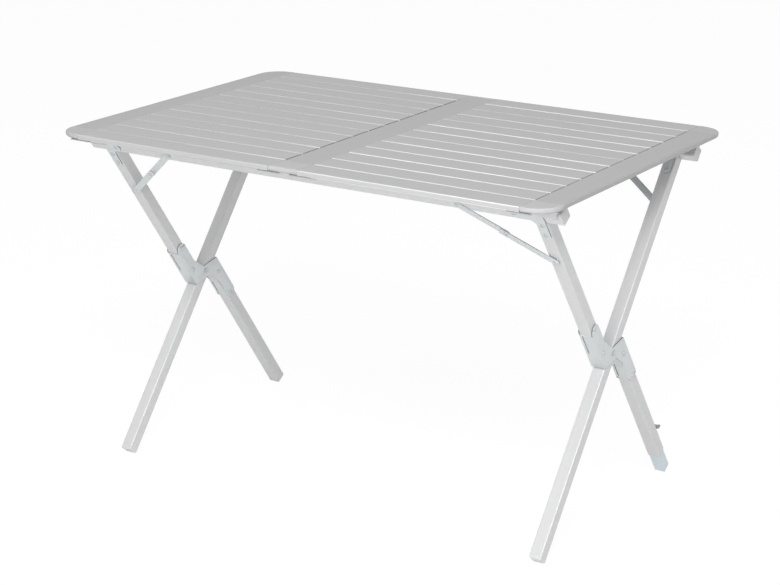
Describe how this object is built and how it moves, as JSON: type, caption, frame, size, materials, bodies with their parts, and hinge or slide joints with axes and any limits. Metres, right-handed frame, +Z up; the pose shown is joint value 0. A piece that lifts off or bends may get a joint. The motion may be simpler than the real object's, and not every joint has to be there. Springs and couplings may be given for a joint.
{
  "type": "roll-top camp table",
  "caption": "Folding aluminium camp table: roll-up slat mats between cross bars, resting on a crossed-leg frame with hinged legs, folding stays and one adjustable foot.",
  "frame": {"origin": "on the floor under the middle of the table top", "axes": "+X along the table to the right, -Y to the front, +Z up"},
  "size_m": [1.086, 0.7048, 0.6907],
  "materials": {
    "top_aluminium": "satin anodised",
    "tube_aluminium": "satin anodised",
    "zinc_steel": "zinc plated",
    "light_plastic": "moulded, light grey",
    "foot_plastic": "moulded, bluish white",
    "knob_plastic": "moulded, dark grey"
  },
  "bodies": {
    "back_frame": {"back_rail": "tube_aluminium", "back_rail_caps": "light_plastic", "left_back_hinge_plates": "zinc_steel", "right_back_hinge_plates": "zinc_steel", "left_cross_leg": "tube_aluminium", "right_cross_leg": "tube_aluminium", "back_stay_links": "zinc_steel", "back_frame_rivets": "zinc_steel", "hub_pivots": "zinc_steel", "front_feet": "light_plastic"},
    "front_frame": {"front_rail": "tube_aluminium", "front_rail_caps": "light_plastic", "left_front_hinge_plates": "zinc_steel", "right_front_hinge_plates": "zinc_steel", "left_upper_leg": "tube_aluminium", "right_upper_leg": "tube_aluminium", "left_lower_leg": "tube_aluminium", "right_lower_leg": "tube_aluminium", "left_hub_bracket": "zinc_steel", "right_hub_bracket": "zinc_steel", "hub_rivets": "zinc_steel", "front_stay_links": "zinc_steel", "front_frame_rivets": "zinc_steel", "left_back_foot": "light_plastic"},
    "sliding_foot": {"adjustable_foot": "foot_plastic"},
    "lock_screw": {"foot_lock_screw": "knob_plastic"},
    "top": {"left_end_bar": "top_aluminium", "centre_bar": "top_aluminium", "right_end_bar": "top_aluminium", "end_bar_caps": "light_plastic", "centre_bar_caps": "light_plastic", "slat_ledges": "top_aluminium", "rail_clips": "light_plastic", "left_slat_13": "top_aluminium", "right_slat_13": "top_aluminium"},
    "left_slat_12": {"left_slat_12": "top_aluminium"},
    "left_slat_11": {"left_slat_11": "top_aluminium"},
    "left_slat_10": {"left_slat_10": "top_aluminium"},
    "left_slat_9": {"left_slat_9": "top_aluminium"},
    "left_slat_8": {"left_slat_8": "top_aluminium"},
    "left_slat_7": {"left_slat_7": "top_aluminium"},
    "left_slat_6": {"left_slat_6": "top_aluminium"},
    "left_slat_5": {"left_slat_5": "top_aluminium"},
    "left_slat_4": {"left_slat_4": "top_aluminium"},
    "left_slat_3": {"left_slat_3": "top_aluminium"},
    "left_slat_2": {"left_slat_2": "top_aluminium"},
    "left_slat_1": {"left_slat_1": "top_aluminium"},
    "right_slat_12": {"right_slat_12": "top_aluminium"},
    "right_slat_11": {"right_slat_11": "top_aluminium"},
    "right_slat_10": {"right_slat_10": "top_aluminium"},
    "right_slat_9": {"right_slat_9": "top_aluminium"},
    "right_slat_8": {"right_slat_8": "top_aluminium"},
    "right_slat_7": {"right_slat_7": "top_aluminium"},
    "right_slat_6": {"right_slat_6": "top_aluminium"},
    "right_slat_5": {"right_slat_5": "top_aluminium"},
    "right_slat_4": {"right_slat_4": "top_aluminium"},
    "right_slat_3": {"right_slat_3": "top_aluminium"},
    "right_slat_2": {"right_slat_2": "top_aluminium"},
    "right_slat_1": {"right_slat_1": "top_aluminium"}
  },
  "joints": [
    {"name": "top_lift", "type": "slide", "parent": "back_frame", "child": "top", "axis": [0, 0, 1], "range_m": [0, 0.392]},
    {"name": "frame_close", "type": "hinge", "parent": "back_frame", "child": "front_frame", "pos_m": [0, 0, 0.329], "axis": [1, 0, 0], "range_deg": [-72.5, 0]},
    {"name": "foot_extend", "type": "slide", "parent": "front_frame", "child": "sliding_foot", "axis": [0, 0.5698, -0.8218], "range_m": [-0.045, 0.04]},
    {"name": "lock_screw_turn", "type": "hinge", "parent": "front_frame", "child": "lock_screw", "pos_m": [0.48, 0.2017, 0.10745], "axis": [0, 0.8218, 0.5698], "range_deg": [-180, 0]},
    {"name": "left_slat_12_turn", "type": "hinge", "parent": "top", "child": "left_slat_12", "pos_m": [0, 0.2992, 0.685], "axis": [-1, 0, 0], "range_deg": [0, 25]},
    {"name": "left_slat_11_turn", "type": "hinge", "parent": "left_slat_12", "child": "left_slat_11", "pos_m": [0, 0.2448, 0.685], "axis": [-1, 0, 0], "range_deg": [0, 25]},
    {"name": "left_slat_10_turn", "type": "hinge", "parent": "left_slat_11", "child": "left_slat_10", "pos_m": [0, 0.1904, 0.685], "axis": [-1, 0, 0], "range_deg": [0, 25]},
    {"name": "left_slat_9_turn", "type": "hinge", "parent": "left_slat_10", "child": "left_slat_9", "pos_m": [0, 0.136, 0.685], "axis": [-1, 0, 0], "range_deg": [0, 25]},
    {"name": "left_slat_8_turn", "type": "hinge", "parent": "left_slat_9", "child": "left_slat_8", "pos_m": [0, 0.0816, 0.685], "axis": [-1, 0, 0], "range_deg": [0, 25]},
    {"name": "left_slat_7_turn", "type": "hinge", "parent": "left_slat_8", "child": "left_slat_7", "pos_m": [0, 0.0272, 0.685], "axis": [-1, 0, 0], "range_deg": [0, 25]},
    {"name": "left_slat_6_turn", "type": "hinge", "parent": "left_slat_7", "child": "left_slat_6", "pos_m": [0, -0.0272, 0.685], "axis": [-1, 0, 0], "range_deg": [0, 25]},
    {"name": "left_slat_5_turn", "type": "hinge", "parent": "left_slat_6", "child": "left_slat_5", "pos_m": [0, -0.0816, 0.685], "axis": [-1, 0, 0], "range_deg": [0, 25]},
    {"name": "left_slat_4_turn", "type": "hinge", "parent": "left_slat_5", "child": "left_slat_4", "pos_m": [0, -0.136, 0.685], "axis": [-1, 0, 0], "range_deg": [0, 25]},
    {"name": "left_slat_3_turn", "type": "hinge", "parent": "left_slat_4", "child": "left_slat_3", "pos_m": [0, -0.1904, 0.685], "axis": [-1, 0, 0], "range_deg": [0, 25]},
    {"name": "left_slat_2_turn", "type": "hinge", "parent": "left_slat_3", "child": "left_slat_2", "pos_m": [0, -0.2448, 0.685], "axis": [-1, 0, 0], "range_deg": [0, 25]},
    {"name": "left_slat_1_turn", "type": "hinge", "parent": "left_slat_2", "child": "left_slat_1", "pos_m": [0, -0.2992, 0.685], "axis": [-1, 0, 0], "range_deg": [0, 25]},
    {"name": "right_slat_12_turn", "type": "hinge", "parent": "top", "child": "right_slat_12", "pos_m": [0, 0.2992, 0.685], "axis": [-1, 0, 0], "range_deg": [0, 25]},
    {"name": "right_slat_11_turn", "type": "hinge", "parent": "right_slat_12", "child": "right_slat_11", "pos_m": [0, 0.2448, 0.685], "axis": [-1, 0, 0], "range_deg": [0, 25]},
    {"name": "right_slat_10_turn", "type": "hinge", "parent": "right_slat_11", "child": "right_slat_10", "pos_m": [0, 0.1904, 0.685], "axis": [-1, 0, 0], "range_deg": [0, 25]},
    {"name": "right_slat_9_turn", "type": "hinge", "parent": "right_slat_10", "child": "right_slat_9", "pos_m": [0, 0.136, 0.685], "axis": [-1, 0, 0], "range_deg": [0, 25]},
    {"name": "right_slat_8_turn", "type": "hinge", "parent": "right_slat_9", "child": "right_slat_8", "pos_m": [0, 0.0816, 0.685], "axis": [-1, 0, 0], "range_deg": [0, 25]},
    {"name": "right_slat_7_turn", "type": "hinge", "parent": "right_slat_8", "child": "right_slat_7", "pos_m": [0, 0.0272, 0.685], "axis": [-1, 0, 0], "range_deg": [0, 25]},
    {"name": "right_slat_6_turn", "type": "hinge", "parent": "right_slat_7", "child": "right_slat_6", "pos_m": [0, -0.0272, 0.685], "axis": [-1, 0, 0], "range_deg": [0, 25]},
    {"name": "right_slat_5_turn", "type": "hinge", "parent": "right_slat_6", "child": "right_slat_5", "pos_m": [0, -0.0816, 0.685], "axis": [-1, 0, 0], "range_deg": [0, 25]},
    {"name": "right_slat_4_turn", "type": "hinge", "parent": "right_slat_5", "child": "right_slat_4", "pos_m": [0, -0.136, 0.685], "axis": [-1, 0, 0], "range_deg": [0, 25]},
    {"name": "right_slat_3_turn", "type": "hinge", "parent": "right_slat_4", "child": "right_slat_3", "pos_m": [0, -0.1904, 0.685], "axis": [-1, 0, 0], "range_deg": [0, 25]},
    {"name": "right_slat_2_turn", "type": "hinge", "parent": "right_slat_3", "child": "right_slat_2", "pos_m": [0, -0.2448, 0.685], "axis": [-1, 0, 0], "range_deg": [0, 25]},
    {"name": "right_slat_1_turn", "type": "hinge", "parent": "right_slat_2", "child": "right_slat_1", "pos_m": [0, -0.2992, 0.685], "axis": [-1, 0, 0], "range_deg": [0, 25]}
  ],
  "couplings": [
    {"joint": "frame_close", "follows": "top_lift", "rad_per_m": -3.2258}
  ]
}
